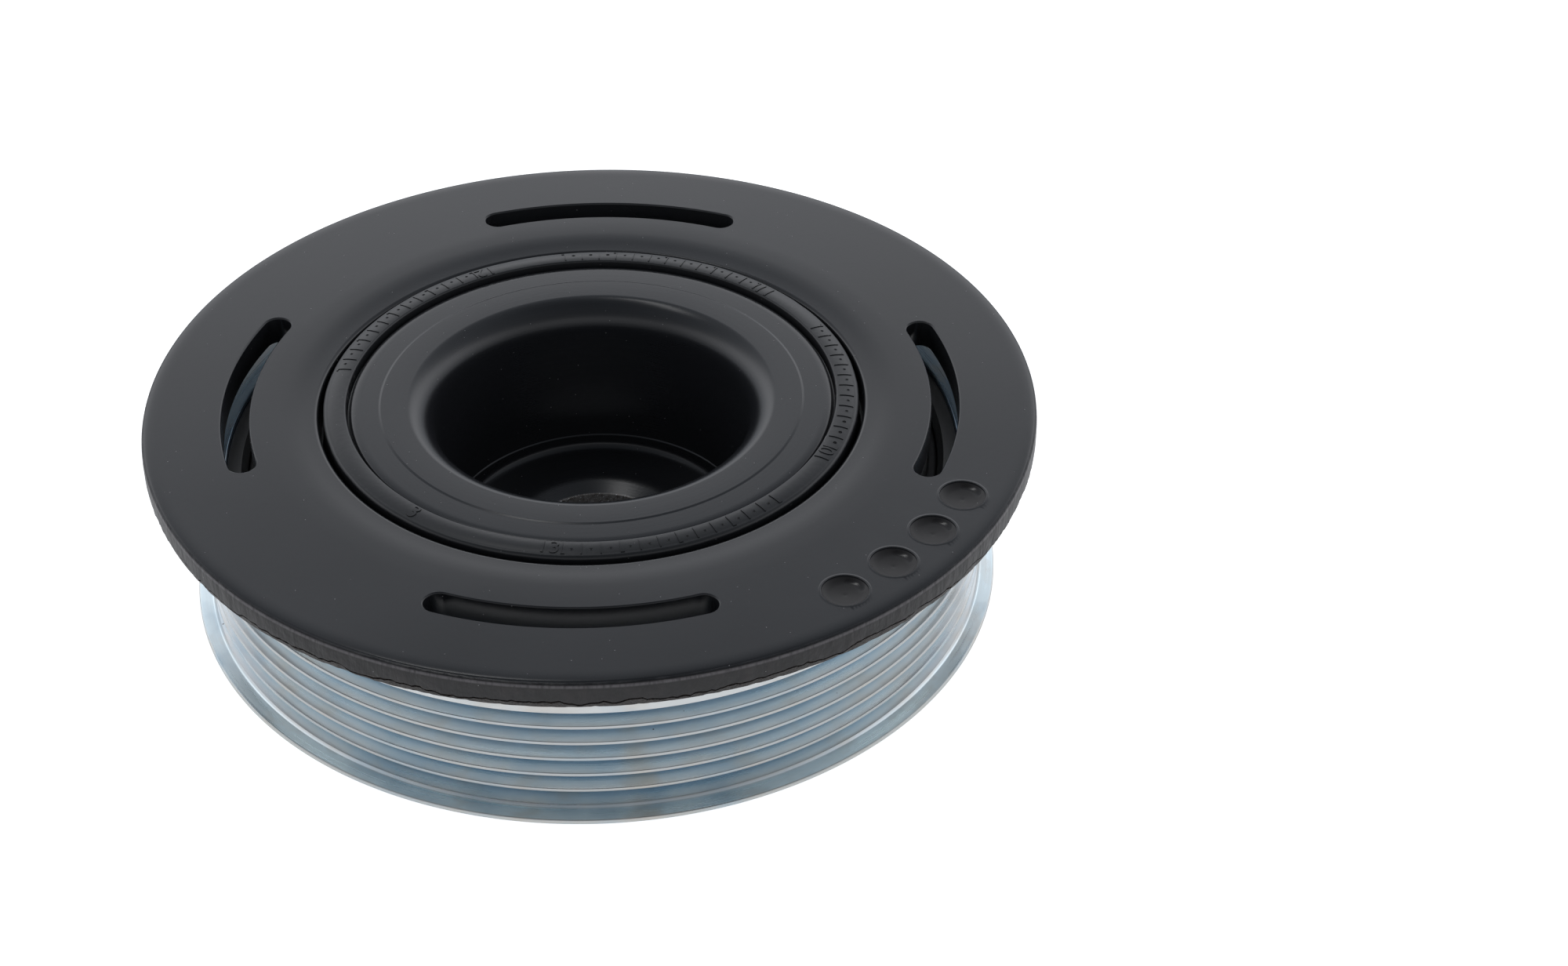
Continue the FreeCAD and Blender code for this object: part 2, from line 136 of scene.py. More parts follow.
def blendColor(tree, factor, first, second, kind="MIX"):
    node = addNode(tree, "Mix", data_type="RGBA", blend_type=kind)
    for socket, value in ((0, factor), (6, first), (7, second)):
        if isinstance(value, bpy.types.NodeSocket):
            tree.links.new(value, node.inputs[socket])
        else:
            node.inputs[socket].default_value = value
    return node.outputs[2]


def gray(level, tint=(1, 1, 1)):
    return (level * tint[0], level * tint[1], level * tint[2], 1)


def cylindrical(tree):
    # object coordinates as distance from the axis, direction round it, and height
    place = addNode(tree, "TexCoord").outputs["Object"]
    split = addNode(tree, "SeparateXYZ", {0: place})
    flat = addNode(tree, "CombineXYZ", {"X": split.outputs["X"], "Y": split.outputs["Y"]}).outputs[0]
    radius = addNode(tree, "VectorMath", {0: flat}, operation="LENGTH").outputs["Value"]
    around = addNode(tree, "VectorMath", {0: flat}, operation="NORMALIZE").outputs["Vector"]
    return place, radius, around, split.outputs["Z"]


def turningMarks(tree, stretch, fineness, detail=2.0, lean=1.31, shift=0.5):
    # noise that runs round the axis: stretch is how fast it changes along its lines, fineness
    # how many lines there are in a mm, lean how much a step in height counts; shift moves it all
    radius, around, height = cylindrical(tree)[1:]
    turned = addNode(tree, "VectorMath", {0: around, 3: stretch}, operation="SCALE").outputs["Vector"]
    rise = addNode(tree, "Math", {0: height, 1: lean, 2: shift}, operation="MULTIPLY_ADD").outputs[0]
    lines = calculate(tree, "ADD", times(tree, radius, fineness / mm), times(tree, rise, fineness / mm))
    lift = addNode(tree, "CombineXYZ", {"Z": lines}).outputs[0]
    vector = addNode(tree, "VectorMath", {0: turned, 1: lift}, operation="ADD").outputs["Vector"]
    return addNode(tree, "TexNoise", {"Vector": vector, "Scale": 1.0, "Detail": detail}).outputs["Fac"]


def within(tree, value, low, high, soft):
    # 1 from low to high, with soft ends
    rise = spread(tree, value, low - soft, low + soft)
    fall = spread(tree, value, high - soft, high + soft, 1.0, 0.0)
    return times(tree, rise, fall)


def inMillimetres(tree):
    place, radius, around, height = cylindrical(tree)
    return place, times(tree, radius, 1 / mm), times(tree, height, 1 / mm)


def stretchedNoise(tree, place, along, upward, detail=3.0, seed=0.0):
    # noise with its fineness given for the plane and for the height, in cells per mm
    scale = (along / mm, along / mm, upward / mm)
    inputs = {"Vector": place, "Location": (seed, seed, seed), "Scale": scale}
    moved = addNode(tree, "Mapping", inputs).outputs[0]
    return addNode(tree, "TexNoise", {"Vector": moved, "Scale": 1.0, "Detail": detail}).outputs["Fac"]


def fleck(tree, size, share, seed=0.0):
    # small round specks: size in mm, share of the cells that hold one
    place = addNode(tree, "TexCoord").outputs["Object"]
    start = (seed, seed * 0.7, seed * 1.3)
    moved = addNode(tree, "Mapping", {"Vector": place, "Location": start}).outputs[0]
    inputs = {"Vector": moved, "Scale": 1 / (size * 5 * mm), "Randomness": 1.0}
    cells = addNode(tree, "TexVoronoi", inputs)
    chance = addNode(tree, "SeparateColor", {0: cells.outputs["Color"]}).outputs[0]
    dot = spread(tree, cells.outputs["Distance"], 0.07, 0.12, 1.0, 0.0)
    return times(tree, dot, calculate(tree, "LESS_THAN", chance, share))


def addBump(tree, shader, height, depth, strength=1.0, previous=None):
    inputs = {"Height": height, "Distance": depth * mm, "Strength": strength}
    if previous is not None:
        inputs["Normal"] = previous
    bump = addNode(tree, "Bump", inputs).outputs["Normal"]
    tree.links.new(bump, shader.inputs["Normal"])
    return bump


# finishes: each fade is the pair of radii, heights or reaches in mm between which it runs

blackTint = (0.92, 0.98, 1.12)

paint = {
    "base": (0.011, 0.015),
    "roughness": (0.19, 0.24),
    "speck": 0.22,
    "drilled": (0.009, 0.007, 0.0065, 1),
    "drilledRoughness": (0.5, 0.17),
    "drilledReach": (4.15, 4.0),
    "drilledBelow": (44.8, 44.7),
    "polishedSpot": (1.8, 2.5),
    "polishedReach": (1.7, 2.6),
    "polishedBand": (2.7, 4.1, 0.5),
    "edge": (0.006, 0.005, 0.006, 1),
    "edgeStreak": (0.003, 0.0025, 0.0025, 1),
    "edgeBrown": (0.016, 0.0125, 0.013, 1),
    "edgeDull": 0.2,
    "edgeFrom": (81.2, 81.5),
    "edgeBelow": (44.75, 44.4),
    # the crest colour is a painted highlight along the edge
    "crest": (0.13, 0.12, 0.125, 1),
    "crestHighlightFrom": (82.0, 82.2),
    "crestHighlightBand": (43.8, 44.3, 0.16),
    "lipDark": (0.012, 0.010, 0.009, 1),
    "lipLight": (0.05, 0.04, 0.034, 1),
    "lipFrom": (81.0, 81.2),
    "lipTo": (82.44, 82.34),
    "lipBelow": (41.35, 41.25),
    "grainDepth": 0.006,
    "streakDepth": 0.09,
    "scoopDepth": 0.45,
    "rubbleDepth": 0.22,
}


def drillReach(tree, place, shift=(0, 0)):
    # distance in mm from the nearest of the balance drillings' centres, or from a spot beside it
    flat = addNode(tree, "VectorMath", {0: place, 1: (1, 1, 0)}, operation="MULTIPLY").outputs["Vector"]
    nearest = 1000.0
    for angle in plate["drillAngles"]:
        swing = math.radians(angle)
        across = plate["drillPitch"] * math.cos(swing) + shift[0]
        along = plate["drillPitch"] * math.sin(swing) + shift[1]
        spot = (across * mm, along * mm, 0)
        away = addNode(tree, "VectorMath", {0: flat, 1: spot}, operation="DISTANCE").outputs["Value"]
        nearest = calculate(tree, "MINIMUM", away, nearest)
    return times(tree, nearest, 1 / mm)


def blackPaint():
    k = paint
    material, tree, shader = newMaterial("blackPaint", Roughness=0.22, IOR=1.5)
    place, radius, height = inMillimetres(tree)
    cloud = addNode(tree, "TexNoise", {"Vector": place, "Scale": 24.0, "Detail": 4.0}).outputs["Fac"]
    grain = addNode(tree, "TexNoise", {"Vector": place, "Scale": 1500.0, "Detail": 3.0}).outputs["Fac"]
    dark, light = k["base"]
    color = blendColor(tree, spread(tree, cloud, 0.35, 0.65), gray(dark, blackTint), gray(light, blackTint))
    # the drilled floors are dull and brownish, and polished on one side, where they turn up
    reach = drillReach(tree, place)
    drilled = times(tree, spread(tree, reach, *k["drilledReach"]), spread(tree, height, *k["drilledBelow"]))
    polished = spread(tree, drillReach(tree, place, k["polishedSpot"]), *k["polishedReach"], 1.0, 0.0)
    polished = times(tree, polished, within(tree, reach, *k["polishedBand"]))
    color = blendColor(tree, drilled, color, k["drilled"])
    # the blanked edge has streaks of the tool
    edge = times(tree, spread(tree, radius, *k["edgeFrom"]), spread(tree, height, *k["edgeBelow"]))
    streak = stretchedNoise(tree, place, 1.6, 0.16, 4.0, 3.0)
    scoop = stretchedNoise(tree, place, 0.35, 0.22, 3.0, 8.0)
    color = blendColor(tree, edge, color, k["edge"])
    color = blendColor(tree, times(tree, edge, spread(tree, streak, 0.46, 0.66)), color, k["edgeStreak"])
    color = blendColor(tree, times(tree, edge, spread(tree, scoop, 0.5, 0.7)), color, k["edgeBrown"])
    # a painted highlight runs along it as a light crest, under the rolled corner
    crest = times(tree, spread(tree, radius, *k["crestHighlightFrom"]), within(tree, height, *k["crestHighlightBand"]))
    crest = times(tree, crest, spread(tree, streak, 0.3, 0.55, 0.35, 1.0))
    color = blendColor(tree, crest, color, k["crest"])
    # and below it is a rough brownish lip, where the sheet broke away
    low = times(tree, spread(tree, radius, *k["lipFrom"]), spread(tree, radius, *k["lipTo"]))
    low = times(tree, low, spread(tree, height, *k["lipBelow"]))
    rubble = stretchedNoise(tree, place, 2.6, 3.4, 4.0, 6.0)
    lipColor = blendColor(tree, spread(tree, rubble, 0.4, 0.6), k["lipDark"], k["lipLight"])
    color = blendColor(tree, low, color, lipColor)
    color = blendColor(tree, fleck(tree, 0.2, 0.06), color, gray(k["speck"]))
    tree.links.new(color, shader.inputs["Base Color"])
    dull = times(tree, edge, k["edgeDull"])
    roughness = calculate(tree, "ADD", dull, spread(tree, cloud, 0.3, 0.7, *k["roughness"]))
    drilledRoughness = spread(tree, polished, 0.0, 1.0, *k["drilledRoughness"])
    picked = addNode(tree, "Mix", {0: drilled, 2: roughness, 3: drilledRoughness}, data_type="FLOAT")
    tree.links.new(picked.outputs[0], shader.inputs["Roughness"])
    normal = addBump(tree, shader, grain, k["grainDepth"])
    normal = addBump(tree, shader, times(tree, edge, streak), k["streakDepth"], previous=normal)
    normal = addBump(tree, shader, times(tree, edge, scoop), k["scoopDepth"], previous=normal)
    addBump(tree, shader, times(tree, low, rubble), k["rubbleDepth"], previous=normal)
    return material


casting = {
    "base": (0.014, 0.018),
    "speck": 0.25,
    "bareInside": (14.35, 14.1),
    "bareBelow": (11.75, 11.6),
    "bareDark": (0.16, 0.135, 0.115, 1),
    "bareLight": (0.34, 0.32, 0.30, 1),
    "marksDepth": 0.005,
    "fineDepth": 0.0025,
    "grainDepth": 0.006,
}


def turnedBlack():
    k = casting
    material, tree, shader = newMaterial("turnedBlack", Roughness=0.22, IOR=1.5)
    place, radius, height = inMillimetres(tree)
    marks = turningMarks(tree, 1.2, 2.6)
    fine = turningMarks(tree, 0.6, 5.0, 1.0)
    grain = addNode(tree, "TexNoise", {"Vector": place, "Scale": 1700.0, "Detail": 3.0}).outputs["Fac"]
    dark, light = k["base"]
    color = blendColor(tree, marks, gray(dark, blackTint), gray(light, blackTint))
    color = blendColor(tree, fleck(tree, 0.16, 0.06, 3.0), color, gray(k["speck"]))
    # the bolt hole is bare metal, with painted glints: small white specks in its colour
    bare = times(tree, spread(tree, radius, *k["bareInside"]), spread(tree, height, *k["bareBelow"]))
    mottle = stretchedNoise(tree, place, 1.3, 1.3, 5.0, 2.0)
    bareColor = blendColor(tree, spread(tree, mottle, 0.35, 0.65), k["bareDark"], k["bareLight"])
    paintedGlint = spread(tree, stretchedNoise(tree, place, 3.0, 4.0, 3.0, 7.0), 0.62, 0.68)
    bareColor = blendColor(tree, paintedGlint, bareColor, gray(1.0))
    tree.links.new(blendColor(tree, bare, color, bareColor), shader.inputs["Base Color"])
    normal = addBump(tree, shader, marks, k["marksDepth"])
    normal = addBump(tree, shader, fine, k["fineDepth"], previous=normal)
    addBump(tree, shader, grain, k["grainDepth"], previous=normal)
    return material


moulding = {
    "base": (0.008, 0.013),
    "paleSpeck": 0.1,
    "darkSpeck": 0.002,
    "dust": 0.22,
    "gapBand": (44.6, 45.5, 0.08),
    "gapAbove": (43.5, 43.7),
    "dustyHalf": (0.012, -0.004),
    "grainDepth": 0.022,
}


def mouldedRubber():
    k = moulding
    material, tree, shader = newMaterial("mouldedRubber", Roughness=0.32, IOR=1.5)
    place, radius, height = inMillimetres(tree)
    grain = addNode(tree, "TexNoise", {"Vector": place, "Scale": 900.0, "Detail": 5.0}).outputs["Fac"]
    cloud = stretchedNoise(tree, place, 0.12, 0.12, 4.0, 4.0)
    dark, light = k["base"]
    color = blendColor(tree, grain, gray(dark, blackTint), gray(light, blackTint))
    color = blendColor(tree, fleck(tree, 0.2, 0.1, 5.0), color, gray(k["paleSpeck"]))
    color = blendColor(tree, fleck(tree, 0.3, 0.05, 9.0), color, gray(k["darkSpeck"]))
    # dust lies here and there in the groove beside the hub's rim, on one half of the ring
    dust = times(tree, within(tree, radius, *k["gapBand"]), spread(tree, height, *k["gapAbove"]))
    dust = times(tree, dust, spread(tree, cloud, 0.54, 0.62))
    dust = times(tree, dust, spread(tree, grain, 0.5, 0.62))
    across = addNode(tree, "SeparateXYZ", {0: place}).outputs["Y"]
    dust = times(tree, dust, spread(tree, across, *k["dustyHalf"]))
    tree.links.new(blendColor(tree, dust, color, gray(k["dust"])), shader.inputs["Base Color"])
    addBump(tree, shader, grain, k["grainDepth"])
    return material


zinc = {
    # the root colour is the plating's blue tint with painted shade in it
    "root": (0.34, 0.48, 0.60, 1),
    "flank": (0.62, 0.71, 0.76, 1),
    "land": (0.71, 0.73, 0.73, 1),
    "tip": (0.56, 0.58, 0.58, 1),
    "flange": (0.84, 0.96, 1.0, 1),
    "rim": (0.58, 0.59, 0.57, 1),
    "blue": (0.42, 0.56, 0.66, 1),
    "warm": (0.62, 0.56, 0.48, 1),
    "streak": (0.80, 0.82, 0.82, 1),
    "dirt": (0.12, 0.10, 0.09, 1),
    "roughness": (0.24, 0.38),
    "shadedRootToFlank": (70.2, 71.6),
    "flankToLand": (71.6, 73.0),
    "tipFrom": (72.8, 72.95),
    "tipBelow": (29.95, 29.8),
    "flangeFrom": (73.05, 73.5),
    "rimFrom": (75.75, 76.0),
    "streakDepth": 0.01,
}


def zincPlate():
    k = zinc
    material, tree, shader = newMaterial("zincPlate", Metallic=1.0, Roughness=0.3)
    radius, height = inMillimetres(tree)[1:]
    streaks = turningMarks(tree, 2.5, 3.0, 3.0)
    blotches = turningMarks(tree, 6.0, 0.16, 3.0)
    warm = turningMarks(tree, 9.0, 0.3, 2.0, 0.7)
    # the plating turns from a deep blue at the roots to a warm grey on the ribs' tips; the roots are also
    # darkened, a painted shade deep in the grooves
    color = blendColor(tree, spread(tree, radius, *k["shadedRootToFlank"]), k["root"], k["flank"])
    color = blendColor(tree, spread(tree, radius, *k["flankToLand"]), color, k["land"])
    tips = times(tree, spread(tree, radius, *k["tipFrom"]), spread(tree, height, *k["tipBelow"]))
    color = blendColor(tree, tips, color, k["tip"])
    color = blendColor(tree, spread(tree, radius, *k["flangeFrom"]), color, k["flange"])
    color = blendColor(tree, spread(tree, radius, *k["rimFrom"]), color, k["rim"])
    color = blendColor(tree, spread(tree, blotches, 0.5, 0.72, 0.0, 0.55), color, k["blue"])
    color = blendColor(tree, spread(tree, warm, 0.52, 0.74, 0.0, 0.45), color, k["warm"])
    color = blendColor(tree, spread(tree, streaks, 0.35, 0.7, 0.0, 0.22), color, k["streak"])
    color = blendColor(tree, fleck(tree, 0.35, 0.012, 12.0), color, k["dirt"])
    tree.links.new(color, shader.inputs["Base Color"])
    tree.links.new(spread(tree, streaks, 0.3, 0.7, *k["roughness"]), shader.inputs["Roughness"])
    addBump(tree, shader, streaks, k["streakDepth"])
    return material


def blackCasting():
    material, tree, shader = newMaterial("blackCasting", Roughness=0.6)
    place = addNode(tree, "TexCoord").outputs["Object"]
    grain = addNode(tree, "TexNoise", {"Vector": place, "Scale": 500.0, "Detail": 5.0}).outputs["Fac"]
    tree.links.new(blendColor(tree, grain, gray(0.012), gray(0.025)), shader.inputs["Base Color"])
    addBump(tree, shader, grain, 0.05)
    return material


def bushPlastic():
    material, tree, shader = newMaterial("bushPlastic", Roughness=0.4)
    marks = turningMarks(tree, 3.0, 1.5)
    tree.links.new(blendColor(tree, marks, gray(0.05), gray(0.07)), shader.inputs["Base Color"])
    addBump(tree, shader, marks, 0.01)
    return material


def turnedSteel():
    material, tree, shader = newMaterial("turnedSteel", Metallic=1.0, Roughness=0.33)
    marks = turningMarks(tree, 1.5, 3.0)
    tree.links.new(blendColor(tree, marks, gray(0.42), gray(0.55)), shader.inputs["Base Color"])
    addBump(tree, shader, marks, 0.01)
    return material


# shaping

def deselect():
    bpy.ops.object.select_all(action="DESELECT")


def pick(piece):
    deselect()
    piece.select_set(True)
    bpy.context.view_layer.objects.active = piece


def soften(corners, steps=5, hold=0.15):
    # corners of a closed section, each a radius, a height and sometimes a fillet, which is stepped round
    points = []
    for index, (radius, height, *fillet) in enumerate(corners):
        corner = Vector((radius, height))
        if not fillet:
            points.append(corner)
            continue
        before = Vector(corners[index - 1][:2]) - corner
        after = Vector(corners[(index + 1) % len(corners)][:2]) - corner
        half = before.angle(after) / 2
        reach = fillet[0] / math.tan(half)
        inwards = (before.normalized() + after.normalized()).normalized()
        centre = corner + inwards * fillet[0] / math.sin(half)
        first = corner + before.normalized() * reach
        last = corner + after.normalized() * reach
        sweep = (first - centre).angle_signed(last - centre)
        if before.length > 3 * (reach + hold):
            points.append(first + before.normalized() * hold)
        for step in range(steps + 1):
            swing = Matrix.Rotation(-sweep * step / steps, 2)
            points.append(centre + swing @ (first - centre))
        if after.length > 3 * (reach + hold):
            points.append(last + after.normalized() * hold)
    return points


def lathe(name, section, segments=288):
    # a circle pulled along the section, loop by loop, and closed on itself
    deselect()
    radius, height = section[0]
    place = (0, 0, height * mm)
    bpy.ops.mesh.primitive_circle_add(vertices=segments, radius=radius * mm, location=place)
    piece = bpy.context.object
    piece.name = name
    piece.data.name = name
    bpy.ops.object.transform_apply(location=True, rotation=False, scale=False)
    bpy.ops.object.mode_set(mode="EDIT")
    bpy.ops.mesh.select_mode(type="EDGE")
    bpy.ops.mesh.select_all(action="SELECT")
    for nextRadius, nextHeight in [*section[1:], section[0]]:
        rise = (0, 0, (nextHeight - height) * mm)
        bpy.ops.mesh.extrude_region_move(TRANSFORM_OT_translate={"value": rise})
        widen = nextRadius / radius
        bpy.ops.transform.resize(value=(widen, widen, 1), center_override=(0, 0, 0))
        radius, height = nextRadius, nextHeight
    bpy.ops.mesh.select_all(action="SELECT")
    bpy.ops.mesh.remove_doubles(threshold=0.002 * mm)
    bpy.ops.mesh.normals_make_consistent(inside=False)
    bpy.ops.object.mode_set(mode="OBJECT")
    return piece


def arcPoints(centreRadius, centreHeight, radius, startAngle, endAngle, steps):
    # points of an arc in the section, angles in degrees from straight out
    points = []
    for step in range(steps + 1):
        angle = math.radians(startAngle + (endAngle - startAngle) * step / steps)
        across, rise = radius * math.cos(angle), radius * math.sin(angle)
        points.append((centreRadius + across, centreHeight + rise))
    return points


def peg(name, stations, segments, turn=0.0):
    # a filled circle pulled up through the stations, each a radius and a height
    deselect()
    radius, height = stations[0]
    bpy.ops.mesh.primitive_circle_add(vertices=segments, radius=radius * mm, fill_type="NGON",
                                      location=(0, 0, height * mm), rotation=(0, 0, turn))
    piece = bpy.context.object
    piece.name = name
    bpy.ops.object.transform_apply(location=True, rotation=True, scale=False)
    bpy.ops.object.mode_set(mode="EDIT")
    bpy.ops.mesh.select_mode(type="FACE")
    bpy.ops.mesh.select_all(action="SELECT")
    for nextRadius, nextHeight in stations[1:]:
        rise = (0, 0, (nextHeight - height) * mm)
        bpy.ops.mesh.extrude_region_move(TRANSFORM_OT_translate={"value": rise})
        widen = nextRadius / radius
        bpy.ops.transform.resize(value=(widen, widen, 1), center_override=(0, 0, 0))
        radius, height = nextRadius, nextHeight
    bpy.ops.mesh.select_all(action="SELECT")
    bpy.ops.mesh.normals_make_consistent(inside=False)
    bpy.ops.object.mode_set(mode="OBJECT")
    return piece


def copyPiece(piece, angle=0.0, shift=(0, 0, 0)):
    # a copy with its own mesh, moved and then turned round the axis
    pick(piece)
    bpy.ops.object.duplicate(linked=False)
    copy = bpy.context.object
    bpy.ops.transform.translate(value=shift)
    bpy.ops.object.transform_apply(location=True, rotation=True, scale=True)
    copy.rotation_euler = (0, 0, math.radians(angle))
    bpy.ops.object.transform_apply(location=True, rotation=True, scale=True)
    return copy


def joinPieces(pieces):
    deselect()
    for piece in pieces:
        piece.select_set(True)
    bpy.context.view_layer.objects.active = pieces[0]
    bpy.ops.object.join()
    return bpy.context.object


def discard(piece):
    pick(piece)
    bpy.ops.object.delete()


def combine(piece, tool, operation):
    pick(piece)
    bpy.ops.object.modifier_add(type="BOOLEAN")
    boolean = piece.modifiers[-1]
    boolean.operation = operation
    boolean.object = tool
    boolean.solver = "EXACT"
    bpy.ops.object.modifier_apply(modifier=boolean.name)
    discard(tool)


def finishPiece(piece, node, material, angle=30, weighted=False):
    pick(piece)
    bpy.ops.object.shade_smooth_by_angle(angle=math.radians(angle))
    if weighted:
        bpy.ops.object.modifier_add(type="WEIGHTED_NORMAL")
        piece.modifiers[-1].keep_sharp = True
        bpy.ops.object.modifier_apply(modifier=piece.modifiers[-1].name)
    piece.data.materials.clear()
    piece.data.materials.append(material)
    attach(piece, "root")
    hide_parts(node)
    print("piece", piece.name, len(piece.data.polygons), "faces")
    return piece


hub = {
    "segments": 288,
    "noseBore": 18.0,
    "noseDepth": 6.0,
    "noseChamfer": 0.6,
    "boltHole": 13.9,
    "sink": 18.2,
    "sinkDepth": 1.4,
    "bossRadius": 31.0,
    "bossLength": 5.0,
    "barrel": 37.0,
    "roof": 38.0,
    "rimBore": 40.2,
    "rimBottom": 24.0,
    "outerDrop": 0.12,
    "rimRoll": [(44.75, 0.66), (44.7, 0.45), (44.56, 0.27), (44.36, 0.165), (44.05, 0.09),
                (43.7, 0.035), (43.3, 0.008), (43.0, 0.0)],
    "turnedStep": (39.4, 39.0),
    "mouthEdge": [(34.2, 0.0), (34.0, 0.01), (33.8, 0.04), (33.6, 0.09)],
    "mouthRoll": 6.23,
    "mouthCentre": 35.53,
    "mouthDepth": 6.0,
    "mouthStart": 33.4,
    "cupFoot": [(28.6, 15.52), (28.5, 15.42), (28.35, 15.35), (28.3, 15.2)],
    "step": 28.3,
    "stepFillet": 1.8,
    "seat": 12.8,
    "sinkFillet": 9.0,
}


def makeHub():
    k = hub
    outerFace = hubTop - k["outerDrop"]
    stepOuter, stepInner = k["turnedStep"]
    mouthHeight = hubTop - k["mouthDepth"]
    startAngle = 180 - math.degrees(math.acos((k["mouthCentre"] - k["mouthStart"]) / k["mouthRoll"]))
    section = soften([
        (k["noseBore"] + k["noseChamfer"], 0.0),
        (k["bossRadius"], 0.0, 0.7),
        (k["bossRadius"], k["bossLength"], 0.6),
        (k["barrel"], k["bossLength"], 0.9),
        (k["barrel"], k["roof"], 1.2),
        (k["rimBore"], k["roof"], 1.2),
        (k["rimBore"], k["rimBottom"], 0.4),
        (hubRadius, k["rimBottom"], 0.4),
        *[(radius, outerFace - drop) for radius, drop in k["rimRoll"]],
        (stepOuter, outerFace, 0.15),
        (stepInner, hubTop, 0.15),
        *[(radius, hubTop - drop) for radius, drop in k["mouthEdge"]],
        *arcPoints(k["mouthCentre"], mouthHeight, k["mouthRoll"], startAngle, 180, 16),
        *k["cupFoot"],
        (k["step"], k["seat"], k["stepFillet"]),
        (k["sink"], k["seat"], k["sinkFillet"]),
        (k["boltHole"], k["seat"] - k["sinkDepth"], 0.15),
        (k["boltHole"], k["noseDepth"]),
        (k["noseBore"], k["noseDepth"], 0.4),
        (k["noseBore"], k["noseChamfer"]),
    ])
    return lathe("hub_turned", section, k["segments"])


rubberRing = {
    "segments": 360,
    "waviness": 0.06,
    "bottom": 24.0,
    "collarBore": 50.4,
    "grooveFloor": 37.5,
    "grooveFoot": 49.9,
    "bandOuter": 49.55,
    "bandInner": 45.3,
    "gapFoot": 45.1,
    "gapBottom": 43.5,
    "shoulder": 45.3,
    "shoulderRound": 0.8,
    "crestRound": 0.4,
    "crownStart": 48.75,
    "crownEnd": 45.7,
    "crownCentre": (46.5, 37.62),
    "crownRadius": 8.0,
}


def crownHeight(radius):
    k = rubberRing
    across = radius - k["crownCentre"][0]
    return k["crownCentre"][1] + math.sqrt(k["crownRadius"] ** 2 - across * across)


def crownPoints(lift=0.0, steps=12):
    # the band's top, from its outer shoulder inwards
    k = rubberRing
    points = []
    for step in range(steps + 1):
        radius = k["crownStart"] + (k["crownEnd"] - k["crownStart"]) * step / steps
        points.append((radius, crownHeight(radius) + lift))
    return points


def makeRubberRing():
    k = rubberRing
    outer, inner = k["shoulderRound"], k["crestRound"]
    crest = crownHeight(k["crownEnd"])
    section = soften([
        (hubRadius, k["bottom"], 0.3),
        (k["collarBore"], k["bottom"], 0.3),
        (k["collarBore"], k["grooveFloor"]),
        (k["grooveFoot"], k["grooveFloor"], 0.3),
        *arcPoints(k["bandOuter"] - outer, k["shoulder"] - outer, outer, 0, 80, 7),
        *crownPoints(),
        *arcPoints(k["bandInner"] + inner, crest - inner, inner, 100, 180, 6),
        (k["gapFoot"], k["gapBottom"] + 0.1),
        (hubRadius, k["gapBottom"]),
    ])
    ring = lathe("rubber_ring", section, k["segments"])
    for vertex in ring.data.vertices:
        radius, height = vertex.co.xy.length / mm, vertex.co.z / mm
        if k["grooveFoot"] - 1 < radius < k["collarBore"] - 0.3 and height > k["grooveFloor"] + 2:
            sway = noise.noise(vertex.co / mm * 0.16) + 0.5 * noise.noise(vertex.co / mm * 0.5)
            vertex.co.xy *= 1 + sway * k["waviness"] / radius
    return ring


dial = {
    "numbers": {-24.1: "10", 47.7: "11", 119.5: "12", 264.2: "13"},
    "lone": (232.0, "3"),
    "radius": 47.25,
    "numberHeight": 2.9,
    "capHeight": 0.69,
    "stroke": 0.015,
    "rawHeight": 2.4,
    "trimDepth": 0.3,
    "firstLine": 2.8,
    "spacing": 4.1,
    "lines": 13,
    "lineInner": 45.95,
    "lineOuter": 48.65,
    "lineWidth": 0.22,
    "cornerLength": 0.7,
    "proud": 0.13,
    "dimpleRadius": 0.37,
    "dimpleSpot": 47.6,
    "shallowLift": 0.16,
    "deepDimples": {-24.1: (0, 1, 2), 47.7: (9, 10, 11)},
}


def makeNumber(words, angle):
    k = dial
    deselect()
    bpy.ops.object.text_add()
    number = bpy.context.object
    number.data.body = words
    number.data.size = k["numberHeight"] * mm / k["capHeight"]
    number.data.align_x = "CENTER"
    number.data.align_y = "CENTER"
    number.data.offset = k["stroke"] * mm
    number.data.extrude = k["rawHeight"] / 2 * mm
    number.data.resolution_u = 4
    pick(number)
    bpy.ops.object.convert(target="MESH")
    number.location = (0, -k["radius"] * mm, plateTop * mm)
    bpy.ops.object.transform_apply(location=True, rotation=True, scale=True)
    number.rotation_euler = (0, 0, math.radians(angle + 90))
    bpy.ops.object.transform_apply(location=True, rotation=True, scale=True)
    bpy.ops.object.mode_set(mode="EDIT")
    bpy.ops.mesh.select_all(action="SELECT")
    bpy.ops.mesh.remove_doubles(threshold=0.001 * mm)
    bpy.ops.object.mode_set(mode="OBJECT")
    return number


def bar(inner, outer, width):
    # an upright block lying along +X, tall enough to be trimmed to the crown
    deselect()
    bpy.ops.mesh.primitive_cube_add(size=mm, location=((inner + outer) / 2 * mm, 0, plateTop * mm))
    block = bpy.context.object
    bpy.ops.transform.resize(value=(outer - inner, width, dial["rawHeight"]))
    bpy.ops.object.transform_apply(location=True, rotation=False, scale=True)
    return block


